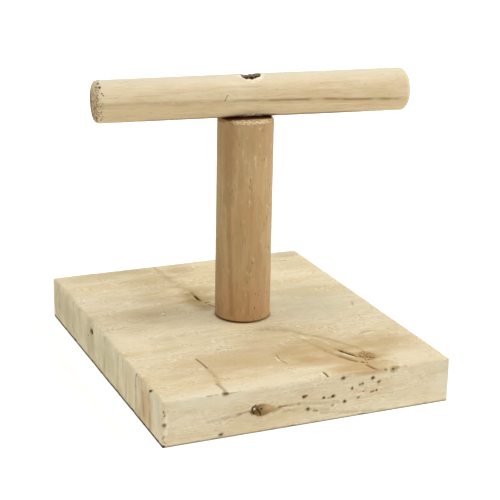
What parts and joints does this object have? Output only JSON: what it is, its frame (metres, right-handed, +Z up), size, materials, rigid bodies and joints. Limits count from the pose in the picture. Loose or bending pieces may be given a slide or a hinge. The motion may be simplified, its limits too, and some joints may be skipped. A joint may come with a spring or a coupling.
{
  "type": "bird perch",
  "caption": "Tabletop bird perch: a round wooden bar screwed across the top of a round post, which stands on a flat rectangular wooden base.",
  "frame": {"origin": "on the surface that the base stands on, under the middle of the whole perch's box; the base's own middle lies a few millimetres towards -X of it, because the bar reaches further out on its right", "axes": "+Z up; +X along the grain of the base, left to right, which the bar follows within a few degrees; +Y across the grain, from the front edge to the back edge"},
  "size_m": [0.1814, 0.2, 0.1662],
  "materials": {
    "base_wood": "raw sanded softwood with small knots",
    "post_wood": "raw reddish hardwood dowel with short dark flecks",
    "bar_wood": "raw pale dowel, sanded",
    "zinc": "zinc-plated steel"
  },
  "bodies": {
    "root": {"base_board": "base_wood", "post": "post_wood", "perch_bar": "bar_wood", "bar_screw": "zinc", "base_screw": "zinc"}
  },
  "joints": []
}
